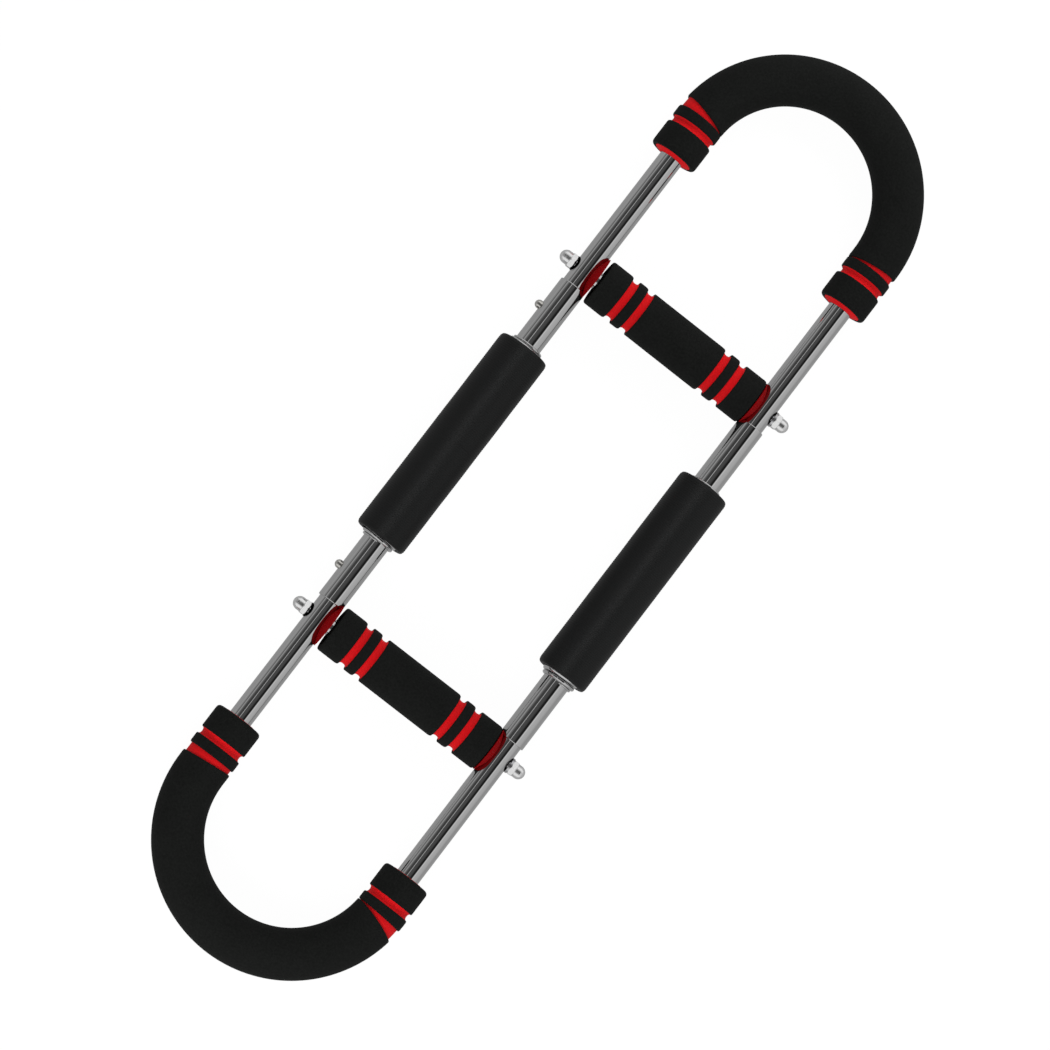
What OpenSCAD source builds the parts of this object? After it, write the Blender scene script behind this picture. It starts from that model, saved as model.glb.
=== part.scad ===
// Double-spring bending bar: two U-shaped handles plugged into two parallel coil springs.
// Long axis along Y, legs side by side in X, lying flat on z = 0. Sizes in millimetres.

/* [Layout] */
// Distance between the centre lines of the two legs
leg_spacing = 200; // [150:1:280]
// Overall length of each coil spring
spring_len = 220; // [180:1:300]
// Length of each socket tube that shows beyond the spring
socket_show = 65; // [55:1:100]
// Distance from the mouth of a socket to the crossbar's axis
crossbar_offset = 17; // [14:0.5:40]
// Distance from the crossbar's axis to the centre of the handle's bend
handle_leg = 166; // [100:1:240]

/* [Tubes] */
// Outer diameter of the handle tube
u_tube_od = 22; // [18:0.5:28]
// Wall of the handle tube
u_tube_wall = 1.5; // [1:0.1:2.5]
// Length of each handle leg that goes into its socket
leg_insert = 55; // [48:1:60]
// Wall of the socket tube
socket_wall = 1.55; // [1:0.05:3]
// Length of each socket that goes into its spring
socket_insert = 25; // [15:1:40]
// Outer diameter of the crossbar tube
crossbar_tube_od = 16; // [12:0.5:20]
// Wall of the crossbar tube
crossbar_tube_wall = 1.5; // [1:0.1:2.5]

/* [Springs] */
// Diameter of the spring wire
wire_d = 5.5; // [3.5:0.1:7]
// Gap between neighbouring turns
turn_gap = 0.1; // [0.1:0.1:2]
// Number of turns over which each end of the wire is drawn thin
taper_turns = 2; // [1:0.5:3]
// Thickness of the wire's tip as a share of the full wire
taper_tip = 0.25; // [0.15:0.05:0.8]

/* [Spring sleeves] */
// Length of each foam sleeve
sleeve_len = 210; // [170:1:290]
// Wall of the red inner layer
sleeve_core_wall = 2.2; // [1:0.1:6]
// Wall of the black outer layer
sleeve_skin_wall = 3.4; // [2:0.1:8]
// Radius of the sleeve's rounded ends
sleeve_round = 3; // [1:0.1:5]
// How far the right sleeve has crept towards the far handle
right_sleeve_creep = 2; // [0:0.5:4]

/* [Handle grips] */
// Outer diameter of the foam round the bend
u_grip_od = 46; // [36:0.5:56]
// Thickness of the black layer on the bend's foam
u_grip_skin = 2; // [1:0.1:5]
// Length of foam on each straight leg before the bend
u_grip_leg = 44; // [40:1:80]
// How far the far handle's foam has slipped to the right
far_grip_slip = 6; // [-10:1:10]
// How far the near handle's foam has slipped to the right
near_grip_slip = -10; // [-10:1:10]
// Length of each end cuff on the bend's foam
u_cuff_len = 24; // [15:0.5:30]
// Width of the groove beside each cuff on the bend's foam
u_groove = 6.5; // [4:0.5:12]
// Width of the narrow ring on the bend's foam
u_ring_len = 10; // [6:0.5:16]
// Opening angle of the wedge groove where the foam enters the bend
wedge_angle = 8.8; // [3:0.2:20]
// Change of that angle for each millimetre that the foam has slipped
wedge_gain = 0.25; // [0:0.05:0.6]
// Gap left on the inside of the bend in a wedge groove
wedge_gap = 0.4; // [0.2:0.1:3]
// That gap on the near handle's left leg, where the foam is hardly bent
straight_gap = 3.6; // [0.2:0.1:8]

/* [Crossbar grips] */
// Outer diameter of the foam on a crossbar
bar_grip_od = 45; // [36:0.5:56]
// Thickness of the black layer on a crossbar's foam
bar_grip_skin = 3; // [1:0.1:6]
// Length of each end cuff on a crossbar's foam
bar_cuff_len = 22.5; // [12:0.5:26]
// Width of each groove on a crossbar's foam
bar_groove = 7; // [4:0.5:10]
// Width of each narrow ring on a crossbar's foam
bar_ring_len = 9.5; // [6:0.5:12]
// Endways play between the foam and the left saddle washer
bar_play = 3.5; // [0:0.5:6]

/* [Fasteners] */
// Diameter of the through rod
rod_d = 8; // [6:0.5:10]
// Clearance of the rod in the tubes and washers, on the diameter
rod_clearance = 0.4; // [0.2:0.1:1]
// Outer diameter of a saddle washer
saddle_d = 43; // [30:0.5:50]
// Height of a saddle washer's rim
saddle_rim = 0.5; // [0.4:0.1:3]
// Height of a saddle washer's dome above its rim
saddle_dome = 7; // [3:0.5:9]
// Thickness of a saddle washer between the leg and the foam
saddle_seat = 1; // [0.8:0.1:3]
// Width across the flats of an acorn nut
nut_af = 13; // [11:0.5:19]
// Height of an acorn nut's hexagon
nut_hex_h = 5; // [4:0.5:8]
// Height of the straight neck under the nut's dome
nut_neck_h = 3.5; // [1:0.5:5]
// Thickness of the flat washer on the left
flat_washer_t = 0.8; // [0.8:0.1:2]
// Thickness of the split lock washer on the right
lock_washer_t = 2; // [1.5:0.1:3]

/* [Snap buttons] */
// Diameter of a snap button
button_d = 8; // [6:0.5:9]
// Distance from the socket's mouth to the button's centre
button_inset = 31; // [25:1:36]
// How far the button stands out of the socket
button_proud = 5.3; // [3:0.1:6]
// Width of the leaf spring's strip
leaf_w = 7; // [4:0.5:8]
// Thickness of the leaf spring's strip
leaf_t = 0.7; // [0.5:0.1:1]

/* [Fits] */
// Clearance round the handle leg in its socket, on the radius
tube_fit = 0.15; // [0.1:0.05:0.4]
// Clearance between the socket and the spring, on the radius
coil_fit = 0.15; // [0.1:0.05:0.5]
// Clearance between the spring and its sleeve, on the radius
sleeve_fit = 0.4; // [0.3:0.1:1]
// Clearance between foam layers and what they cover, on the radius
foam_fit = 0.05; // [0.05:0.05:0.3]
// Clearance of the saddle washer on the leg and the socket, on the radius
saddle_fit = 0.15; // [0.1:0.05:0.5]
// Clearance of the button in its holes, on the radius
button_fit = 0.25; // [0.2:0.05:0.5]

/* [Hidden] */

$fn = 64;
eps = 0.01;          // overrun of a cut past the face that it opens
coil_sides = 6;      // sides of the wire's section
coil_steps = 12;     // sections in one turn of the coil
skin_sides = 24;     // sides of the black layer round the bend
skin_step = 9;       // longest stretch between two of its sections

// Tube sizes that follow from their fits
u_tube_id = u_tube_od - 2 * u_tube_wall;
socket_id = u_tube_od + 2 * tube_fit;
socket_od = socket_id + 2 * socket_wall;
crossbar_tube_id = crossbar_tube_od - 2 * crossbar_tube_wall;
rod_hole = rod_d + rod_clearance;

// Places along the bar, measured from its middle
socket_inner = spring_len / 2 - socket_insert;
socket_mouth = spring_len / 2 + socket_show;
leg_end = socket_mouth - leg_insert;
button_y = socket_mouth - button_inset;
crossbar_y = socket_mouth + crossbar_offset;
bend_y = crossbar_y + handle_leg;
bend_r = leg_spacing / 2;
arc_len = PI * bend_r;
leg_len = bend_y - leg_end;

// Spring and sleeve
coil_bore_r = (socket_od / 2 + coil_fit) / cos(180 / coil_steps);
coil_od = 2 * (coil_bore_r + wire_d);
pitch = wire_d + turn_gap;
taper_len = turn_gap * taper_turns + wire_d * taper_turns * (1 + taper_tip) / 2;
half_body_turns = (spring_len / 2 - taper_len - wire_d * taper_tip / 2) / pitch;
half_turns = half_body_turns + taper_turns;
sleeve_id = coil_od + 2 * sleeve_fit;
sleeve_core_od = sleeve_id + 2 * sleeve_core_wall;
sleeve_od = sleeve_core_od + 2 * foam_fit + 2 * sleeve_skin_wall;

// Foam on the bend, as stations along the handle's centre line
u_core_od = u_grip_od - 2 * u_grip_skin;
u_band = u_cuff_len + u_groove + u_ring_len;

// Crossbar, measured along X from its middle
bar_half = leg_spacing / 2 - u_tube_od / 2 - saddle_seat;
bar_core_od = bar_grip_od - 2 * bar_grip_skin;
bar_right = leg_spacing / 2 - socket_od / 2 - 2 * saddle_fit;    // just clear of the right socket
bar_left = max(bar_play - bar_half, -bar_right);
bar_band = bar_cuff_len + bar_groove + bar_ring_len + bar_groove;

// Fasteners
leg_face = leg_spacing / 2 + u_tube_od / 2;     // outer face of a leg, where a washer sits
left_nut_face = leg_face + flat_washer_t;
right_nut_face = leg_face + lock_washer_t;
nut_bore_past = 1.5;     // how far a nut's bore runs on past its neck
nut_bore_depth = nut_hex_h + nut_neck_h + nut_bore_past;
rod_short = 0.5;         // room between the rod's end and the bottom of the bore
nut_bore_d = rod_d + 0.1;
nut_d = nut_af / cos(30);
dome_step = 0.3;         // step from the hexagon's flats in to the dome
dome_d = nut_af - 2 * dome_step;
flat_washer_d = 1.8 * rod_d;
lock_washer_d = 1.85 * rod_d;
lock_slit = 1.2;
lock_turn = 20;          // angle of the lock washer's slit
saddle_sphere_r = (pow(saddle_d / 2, 2) + pow(saddle_dome, 2)) / (2 * saddle_dome);

// Snap button, measured outwards from the leg's centre line
button_tip = socket_od / 2 + button_proud;
flange_d = button_d + 2.4;
flange_t = 1.2;
flange_room = 0.35;
flange_top = sqrt(pow(u_tube_id / 2, 2) - pow(flange_d / 2, 2)) - flange_room;
leaf_under = 0.1;        // room between the leaf and the flange
leaf_wall = 0.2;         // room between the leaf and the tube's wall
leaf_top = flange_top - flange_t - leaf_under;
leaf_low = leaf_wall - sqrt(pow(u_tube_id / 2, 2) - pow(leaf_w / 2, 2));
leaf_arm = 20;

axis_z = max(sleeve_od, u_grip_od, bar_grip_od, saddle_d) / 2;

// ---- shared shapes ----

module tube(od, id, len) {
    difference() {
        cylinder(d = od, h = len);
        translate([0, 0, -eps]) cylinder(d = id, h = len + 2 * eps);
    }
}

module along_y() { rotate([-90, 0, 0]) children(); }

module along_x() { rotate([0, 90, 0]) children(); }

// Turns a shape drawn for the far end into the same shape at the near end
module at_near() { mirror([0, 1, 0]) children(); }

// Foam or tube round the handle between two stations; 0 is where the left leg meets the bend
module u_span(from, to, od, id) {
    low = max(from, 0);
    high = min(to, arc_len);
    translate([0, bend_y, axis_z]) {
        if (from < 0)
            translate([-bend_r, from, 0]) along_y() tube(od, id, min(to, 0) - from);
        if (high > low)
            rotate([0, 0, 180 - arc_angle(high)])
                rotate_extrude(angle = arc_angle(high - low))
                    translate([bend_r, 0]) difference() { circle(d = od); circle(d = id); }
        if (to > arc_len)
            translate([bend_r, arc_len - to, 0]) along_y() tube(od, id, to - max(from, arc_len));
    }
}

function arc_angle(length) = length / bend_r * 180 / PI;

// Foam or tube along the crossbar between two places
module bar_span(from, to, od, id) {
    translate([from, crossbar_y, axis_z]) along_x() tube(od, id, to - from);
}

// ---- handle ----

module u_tube() {
    color("gainsboro") difference() {
        u_span(-leg_len, arc_len + leg_len, u_tube_od, u_tube_id);
        for (side = [-1, 1])
            translate([side * leg_spacing / 2 - u_tube_od, crossbar_y, axis_z])
                along_x() cylinder(d = rod_hole, h = 2 * u_tube_od);
        button_bore();
    }
}

// Hole for the button through the outer side of the left leg
module button_bore() {
    translate([-leg_spacing / 2 - u_tube_od, button_y, axis_z])
        along_x() cylinder(d = button_d + 2 * button_fit, h = u_tube_od);
}

module u_grip_core(slip) {
    color("red")
        u_span(slip - u_grip_leg + foam_fit, arc_len + u_grip_leg + slip - foam_fit,
               u_core_od, u_tube_od + 2 * foam_fit);
}

// Point beside the handle's centre line: its station, then how far out of the bend and how far up
function handle_point(s, out, up) =
    let (on_arc = min(max(s, 0), arc_len), past = s - on_arc, turn = 180 - arc_angle(on_arc))
    [(bend_r + out) * cos(turn) + past * sin(turn),
     bend_y + (bend_r + out) * sin(turn) - past * cos(turn),
     axis_z + up];

// Black layer between two stations; each end may slant away from the groove on the bend's outside
module u_skin(from, to, slant_from = 0, slant_to = 0) {
    steps = max(2, ceil((to - from) / skin_step));
    outer_r = u_grip_od / 2;
    inner_r = (u_core_od / 2 + foam_fit) / cos(180 / skin_sides) + foam_fit;
    points = [
        for (r = [outer_r, inner_r]) for (i = [0 : steps]) for (k = [0 : skin_sides - 1])
            let (share = i / steps, out = r * cos(360 * k / skin_sides),
                 lean = (1 - share) * tan(slant_from) - share * tan(slant_to))
            handle_point(from + (to - from) * share + lean * (outer_r + out),
                         out, r * sin(360 * k / skin_sides))
    ];
    inner = (steps + 1) * skin_sides;
    walls = [
        for (i = [0 : steps - 1]) for (k = [0 : skin_sides - 1])
            let (a = i * skin_sides + k, b = i * skin_sides + (k + 1) % skin_sides,
                 c = b + skin_sides, d = a + skin_sides)
            each [[a, c, b], [a, d, c],
                  [inner + a, inner + b, inner + c], [inner + a, inner + c, inner + d]]
    ];
    rims = [
        for (k = [0 : skin_sides - 1])
            let (next = (k + 1) % skin_sides, last = steps * skin_sides)
            each [[k, next, inner + next], [k, inner + next, inner + k],
                  [last + k, last + inner + next, last + next],
                  [last + k, last + inner + k, last + inner + next]]
    ];
    polyhedron(points = points, faces = concat(walls, rims), convexity = 10);
}

module u_grip(slip, left_gap) {
    color("dimgray")
        u_skin(slip - u_grip_leg + u_band + left_gap,
               arc_len + u_grip_leg + slip - u_band - wedge_gap,
               wedge_angle + wedge_gain * slip, wedge_angle - wedge_gain * slip);
}

module u_grip_rings(slip) {
    start = slip - u_grip_leg + u_cuff_len + u_groove;
    finish = arc_len + u_grip_leg + slip - u_cuff_len - u_groove;
    color("dimgray") {
        u_skin(start, start + u_ring_len);
        u_skin(finish - u_ring_len, finish);
    }
}

module u_grip_cuffs(slip) {
    start = slip - u_grip_leg;
    finish = arc_len + u_grip_leg + slip;
    color("dimgray") {
        u_skin(start, start + u_cuff_len);
        u_skin(finish - u_cuff_len, finish);
    }
}

// ---- crossbar ----

module crossbar_tube() {
    color("gainsboro") bar_span(-bar_half, bar_half, crossbar_tube_od, crossbar_tube_id);
}

module crossbar_core() {
    color("red") bar_span(bar_left, bar_right, bar_core_od, crossbar_tube_od + 2 * foam_fit);
}

module bar_skin(from, to) {
    bar_span(from, to, bar_grip_od, bar_core_od + 2 * foam_fit);
}

module crossbar_grip() {
    color("dimgray") bar_skin(bar_left + bar_band, bar_right - bar_band);
}

module crossbar_rings() {
    inset = bar_cuff_len + bar_groove;
    color("dimgray") {
        bar_skin(bar_left + inset, bar_left + inset + bar_ring_len);
        bar_skin(bar_right - inset - bar_ring_len, bar_right - inset);
    }
}

module crossbar_cuffs() {
    color("dimgray") {
        bar_skin(bar_left, bar_left + bar_cuff_len);
        bar_skin(bar_right - bar_cuff_len, bar_right);
    }
}

// ---- crossbar fasteners ----

// Domed washer on the right; its dome is cut to sit round the leg and clear the socket's mouth
module saddle_washer() {
    difference() {
        translate([bar_half, crossbar_y, axis_z]) along_x() rotate_extrude() intersection() {
            translate([0, saddle_rim + saddle_dome - saddle_sphere_r])
                circle(r = saddle_sphere_r, $fn = 180);
            translate([rod_hole / 2, 0])
                square([(saddle_d - rod_hole) / 2, saddle_rim + saddle_dome]);
        }
        translate([leg_spacing / 2, leg_end, axis_z])
            along_y() cylinder(d = u_tube_od + 2 * saddle_fit, h = leg_len);
        translate([leg_spacing / 2, leg_end, axis_z])
            along_y() cylinder(d = socket_od + 2 * saddle_fit, h = leg_insert + saddle_fit);
    }
}

module saddle_washers() {
    color("darkred") {
        saddle_washer();
        mirror([1, 0, 0]) saddle_washer();
    }
}

module through_rod() {
    left_end = left_nut_face + nut_bore_depth - rod_short;
    right_end = right_nut_face + nut_bore_depth - rod_short;
    color("silver") translate([-left_end, crossbar_y, axis_z])
        along_x() cylinder(d = rod_d, h = left_end + right_end);
}

module acorn_nut() {
    difference() {
        union() {
            cylinder(d = nut_d, h = nut_hex_h, $fn = 6);
            cylinder(d = dome_d, h = nut_hex_h + nut_neck_h);
            translate([0, 0, nut_hex_h + nut_neck_h]) sphere(d = dome_d);
        }
        translate([0, 0, -eps]) cylinder(d = nut_bore_d, h = nut_bore_depth + eps);
        translate([0, 0, -nut_d]) cylinder(d = 2 * nut_d, h = nut_d);
    }
}

module acorn_nuts() {
    color("silver") {
        translate([right_nut_face, crossbar_y, axis_z]) along_x() acorn_nut();
        mirror([1, 0, 0]) translate([left_nut_face, crossbar_y, axis_z]) along_x() acorn_nut();
    }
}

module flat_washer() {
    color("dimgray") translate([-left_nut_face, crossbar_y, axis_z])
        along_x() tube(flat_washer_d, rod_hole, flat_washer_t);
}

module lock_washer() {
    color("silver") translate([leg_face, crossbar_y, axis_z]) along_x() difference() {
        tube(lock_washer_d, rod_hole, lock_washer_t);
        rotate([lock_turn, 0, 0]) translate([0, -lock_slit / 2, -lock_washer_t])
            cube([lock_washer_d, lock_slit, 4 * lock_washer_t]);
    }
}

// ---- snap button in the left leg ----

module snap_button() {
    color("silver") translate([-leg_spacing / 2, button_y, axis_z]) rotate([0, -90, 0]) {
        translate([0, 0, flange_top - flange_t]) cylinder(d = flange_d, h = flange_t);
        translate([0, 0, flange_top - flange_t])
            cylinder(d = button_d, h = button_tip - button_d / 2 - flange_top + flange_t);
        translate([0, 0, button_tip - button_d / 2]) sphere(d = button_d);
    }
}

// U-shaped leaf inside the leg: one arm under the button, the other on the far wall
module button_spring() {
    span = leaf_top - leaf_low;
    color("silver") translate([-leg_spacing / 2, button_y, axis_z - leaf_w / 2])
        mirror([1, 0, 0]) {
            for (low_x = [leaf_top - leaf_t, leaf_low])
                translate([low_x, -button_d / 2, 0]) cube([leaf_t, leaf_arm + button_d / 2, leaf_w]);
            translate([(leaf_top + leaf_low) / 2, leaf_arm, 0])
                rotate_extrude(angle = 180)
                    translate([span / 2 - leaf_t, 0]) square([leaf_t, leaf_w]);
        }
}

// ---- springs, sockets and sleeves, drawn on the right leg ----

// Wire thickness at a turn counted from the middle of the coil
function thinning(turn) = max(abs(turn) - half_body_turns, 0);
function wire_at(turn) = wire_d * (1 - (1 - taper_tip) * thinning(turn) / taper_turns);
function advance(turn) = let (u = thinning(turn))
    sign(turn) * (pitch * (abs(turn) - u) + turn_gap * u
                  + wire_d * (u - (1 - taper_tip) * u * u / (2 * taper_turns)));

function coil_ring(turn) = [
    for (k = [0 : coil_sides - 1])
        let (half = wire_at(turn) / 2, swing = 360 * k / coil_sides,
             r = coil_bore_r + half + half * cos(swing))
        [r * cos(360 * turn), advance(turn) + half * sin(swing), -r * sin(360 * turn)]
];

module spring() {
    steps = ceil(2 * half_turns * coil_steps);
    rings = [for (i = [0 : steps]) coil_ring(half_turns * (2 * i / steps - 1))];
    points = [for (ring = rings) for (p = ring) p];
    last = steps * coil_sides;
    walls = [
        for (i = [0 : steps - 1]) for (k = [0 : coil_sides - 1])
            let (a = i * coil_sides + k, b = i * coil_sides + (k + 1) % coil_sides)
            each [[a, b, b + coil_sides], [a, b + coil_sides, a + coil_sides]]
    ];
    ends = [
        [for (k = [coil_sides - 1 : -1 : 0]) k],
        [for (k = [0 : coil_sides - 1]) last + k]
    ];
    color("silver") translate([leg_spacing / 2, 0, axis_z])
        polyhedron(points = points, faces = concat(walls, ends), convexity = 10);
}

module sleeve_layer(od, id, len, corner_r, creep) {
    translate([leg_spacing / 2, creep - len / 2, axis_z]) along_y()
        rotate_extrude() difference() {
            translate([id / 2, 0]) square([(od - id) / 2, len]);
            for (flip = [0, 1])
                translate([0, flip * len]) mirror([0, flip])
                    translate([od / 2 - corner_r, 0]) difference() {
                        translate([0, -eps]) square([corner_r + eps, corner_r + eps]);
                        translate([0, corner_r]) circle(r = corner_r);
                    }
        }
}

module sleeve(creep) {
    color("dimgray")
        sleeve_layer(sleeve_od, sleeve_core_od + 2 * foam_fit, sleeve_len, sleeve_round, creep);
}

module sleeve_core(creep) {
    color("red")
        sleeve_layer(sleeve_core_od, sleeve_id, sleeve_len, sleeve_core_wall / 2, creep);
}

module socket() {
    color("gainsboro") translate([leg_spacing / 2, socket_inner, axis_z])
        along_y() tube(socket_od, socket_id, socket_mouth - socket_inner);
}

module left_socket() {
    color("gainsboro") difference() {
        mirror([1, 0, 0]) socket();
        button_bore();
    }
}

// ---- one line per node ----

at_near() u_tube();  // near_u_tube
at_near() u_grip_core(near_grip_slip);  // near_u_grip_core
at_near() u_grip(near_grip_slip, straight_gap);  // near_u_grip
at_near() u_grip_rings(near_grip_slip);  // near_u_grip_rings
at_near() u_grip_cuffs(near_grip_slip);  // near_u_grip_cuffs
at_near() crossbar_tube();  // near_crossbar_tube
at_near() crossbar_core();  // near_crossbar_core
at_near() crossbar_grip();  // near_crossbar_grip
at_near() crossbar_rings();  // near_crossbar_rings
at_near() crossbar_cuffs();  // near_crossbar_cuffs
at_near() saddle_washers();  // near_saddle_washers
at_near() through_rod();  // near_through_rod
at_near() acorn_nuts();  // near_acorn_nuts
at_near() flat_washer();  // near_flat_washer
at_near() lock_washer();  // near_lock_washer
at_near() snap_button();  // near_snap_button
at_near() button_spring();  // near_button_spring
u_tube();  // far_u_tube
u_grip_core(far_grip_slip);  // far_u_grip_core
u_grip(far_grip_slip, wedge_gap);  // far_u_grip
u_grip_rings(far_grip_slip);  // far_u_grip_rings
u_grip_cuffs(far_grip_slip);  // far_u_grip_cuffs
crossbar_tube();  // far_crossbar_tube
crossbar_core();  // far_crossbar_core
crossbar_grip();  // far_crossbar_grip
crossbar_rings();  // far_crossbar_rings
crossbar_cuffs();  // far_crossbar_cuffs
saddle_washers();  // far_saddle_washers
through_rod();  // far_through_rod
acorn_nuts();  // far_acorn_nuts
flat_washer();  // far_flat_washer
lock_washer();  // far_lock_washer
snap_button();  // far_snap_button
button_spring();  // far_button_spring
mirror([1, 0, 0]) spring();  // left_spring
mirror([1, 0, 0]) sleeve(0);  // left_sleeve
mirror([1, 0, 0]) sleeve_core(0);  // left_sleeve_core
at_near() left_socket();  // left_near_socket
left_socket();  // left_far_socket
spring();  // right_spring
sleeve(right_sleeve_creep);  // right_sleeve
sleeve_core(right_sleeve_creep);  // right_sleeve_core
at_near() socket();  // right_near_socket
socket();  // right_far_socket
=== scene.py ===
import math

import bpy
import bmesh
import numpy as np
from mathutils import Matrix, Vector


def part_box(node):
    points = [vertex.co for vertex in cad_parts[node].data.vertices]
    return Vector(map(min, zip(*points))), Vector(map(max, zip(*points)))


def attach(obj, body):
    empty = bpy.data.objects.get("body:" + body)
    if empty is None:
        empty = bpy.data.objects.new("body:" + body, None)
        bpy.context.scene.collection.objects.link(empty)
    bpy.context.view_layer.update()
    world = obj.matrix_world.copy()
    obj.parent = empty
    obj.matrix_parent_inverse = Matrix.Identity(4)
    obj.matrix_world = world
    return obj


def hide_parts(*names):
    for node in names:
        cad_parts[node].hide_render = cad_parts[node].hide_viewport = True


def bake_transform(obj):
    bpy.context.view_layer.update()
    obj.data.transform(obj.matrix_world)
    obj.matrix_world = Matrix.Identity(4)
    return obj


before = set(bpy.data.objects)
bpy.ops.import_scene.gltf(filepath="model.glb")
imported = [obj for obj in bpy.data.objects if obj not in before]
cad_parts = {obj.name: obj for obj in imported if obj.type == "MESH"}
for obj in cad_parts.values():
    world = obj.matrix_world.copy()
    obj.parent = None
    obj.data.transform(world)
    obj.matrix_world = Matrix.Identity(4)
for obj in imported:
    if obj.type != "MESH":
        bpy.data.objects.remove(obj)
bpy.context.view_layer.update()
mm = 0.001
ends = {"near": -1, "far": 1}
sides = {"left": -1, "right": 1}


# places read from the frame, all in metres

def middleOf(node, axis):
    low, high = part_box(node)
    return (low[axis] + high[axis]) / 2


def halfOf(node, axis):
    low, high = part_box(node)
    return (high[axis] - low[axis]) / 2


legX = middleOf("right_far_socket", 0)
axisZ = middleOf("right_far_socket", 2)
tubeR = halfOf("far_u_tube", 2)
socketR = halfOf("right_far_socket", 2)
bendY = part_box("far_u_tube")[1][1] - legX - tubeR
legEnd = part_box("far_u_tube")[0][1]
barY = middleOf("far_through_rod", 1)
buttonY = middleOf("far_snap_button", 1)
socketInner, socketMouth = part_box("right_far_socket")[0][1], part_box("right_far_socket")[1][1]
arcLength = math.pi * legX


def linearColour(code):
    # sRGB hex to the linear values that the shaders take
    channels = [int(code[i:i + 2], 16) / 255 for i in (1, 3, 5)]
    return [c / 12.92 if c <= 0.04045 else ((c + 0.055) / 1.055) ** 2.4 for c in channels] + [1.0]


def addNode(tree, kind, settings=None, links=None):
    # one node with its settings and the sockets that feed it
    node = tree.nodes.new(kind)
    for name, value in (settings or {}).items():
        if isinstance(name, int) or name in node.inputs:
            node.inputs[name].default_value = value
        else:
            setattr(node, name, value)
    for name, source in (links or {}).items():
        tree.links.new(source, node.inputs[name])
    return node


def alongHandle(end):
    # station along the handle's centre line, from the left leg round the bend to the right leg
    def place(station, out, up):
        onArc = np.clip(station, 0, arcLength)
        past = station - onArc
        turn = math.pi - onArc / legX
        x = (legX + out) * np.cos(turn) + past * np.sin(turn)
        y = bendY + (legX + out) * np.sin(turn) - past * np.cos(turn)
        return np.stack([x, end * y, axisZ + up], axis=-1)
    return place


def alongBar(end):
    # station across the bar, from the middle to the right leg
    return lambda station, out, up: np.stack([station, end * barY + out, axisZ + up], axis=-1)


def alongLeg(side, end):
    # station along a leg, from the middle of the bar to one of its ends
    return lambda station, out, up: np.stack([side * legX + out, end * station, axisZ + up], axis=-1)


def acrossLeg(side, y):
    # station outwards from a leg's centre line
    return lambda station, out, up: np.stack([side * (legX + station), y + out, axisZ + up], axis=-1)


def rounded(corners, steps=5):
    # corners are (station, radius, rounding); each rounding becomes a short arc
    points = []
    count = len(corners)
    for i, (s, r, reach) in enumerate(corners):
        here = np.array([s, r])
        if reach <= 0:
            points.append(tuple(here))
            continue
        before = np.array(corners[i - 1][:2]) - here
        after = np.array(corners[(i + 1) % count][:2]) - here
        a = here + before / np.linalg.norm(before) * min(reach, 0.49 * np.linalg.norm(before))
        b = here + after / np.linalg.norm(after) * min(reach, 0.49 * np.linalg.norm(after))
        for t in np.linspace(0, 1, steps):
            points.append(tuple((1 - t) ** 2 * a + 2 * t * (1 - t) * here + t * t * b))
    return points


def divided(points, longest):
    # splits long stretches so that they can follow a bend
    result = []
    for i, p in enumerate(points):
        result.append(p)
        q = points[(i + 1) % len(points)]
        pieces = int(abs(q[0] - p[0]) // longest)
        for k in range(1, pieces + 1):
            t = k / (pieces + 1)
            result.append((p[0] + (q[0] - p[0]) * t, p[1] + (q[1] - p[1]) * t))
    return result


def meshPiece(name, vertices, faces, sharpAngle=35):
    mesh = bpy.data.meshes.new(name)
    mesh.from_pydata([tuple(v) for v in vertices], [], faces)
    work = bmesh.new()
    work.from_mesh(mesh)
    bmesh.ops.remove_doubles(work, verts=work.verts, dist=1e-7)
    bmesh.ops.recalc_face_normals(work, faces=work.faces)
    work.to_mesh(mesh)
    work.free()
    mesh.shade_smooth()
    mesh.set_sharp_from_angle(angle=math.radians(sharpAngle))
    piece = bpy.data.objects.new(name, mesh)
    bpy.context.scene.collection.objects.link(piece)
    return piece


def turned(name, profile, place, count=96, closed=True, lean=None, radiusAt=None, sharpAngle=35):
    # turns a profile of (station, radius) round a centre line; closed makes a ring, open gets caps
    angles = np.arange(count) * 2 * math.pi / count
    rings = []
    for s, r in profile:
        radii = np.full(count, r) if radiusAt is None else radiusAt(s, r, angles)
        out, up = radii * np.cos(angles), radii * np.sin(angles)
        station = s + (0 if lean is None else lean(s, out))
        rings.append(place(station + 0 * out, out, up))
    vertices = np.concatenate(rings)
    total = len(profile)
    faces = []
    for i in range(total if closed else total - 1):
        a, b = i * count, (i + 1) % total * count
        faces += [(a + k, a + (k + 1) % count, b + (k + 1) % count, b + k) for k in range(count)]
    if not closed:
        faces += [tuple(range(count)), tuple(range((total - 1) * count, total * count))]
    return meshPiece(name, vertices, faces, sharpAngle)


def joined(pieces, name):
    # several shells as one object
    work = bmesh.new()
    for piece in pieces:
        work.from_mesh(piece.data)
    mesh = bpy.data.meshes.new(name)
    work.to_mesh(mesh)
    work.free()
    for piece in pieces:
        bpy.data.objects.remove(piece)
    whole = bpy.data.objects.new(name, mesh)
    bpy.context.scene.collection.objects.link(whole)
    return whole


def dress(piece, material, slotName, body, *nodes):
    # gives a piece its finish and its body, and hides the nodes that it stands for
    piece.data.materials.clear()
    piece.data.materials.append(material)
    if body:
        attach(piece, body)
    if nodes:
        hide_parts(*nodes)
    return piece


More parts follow.
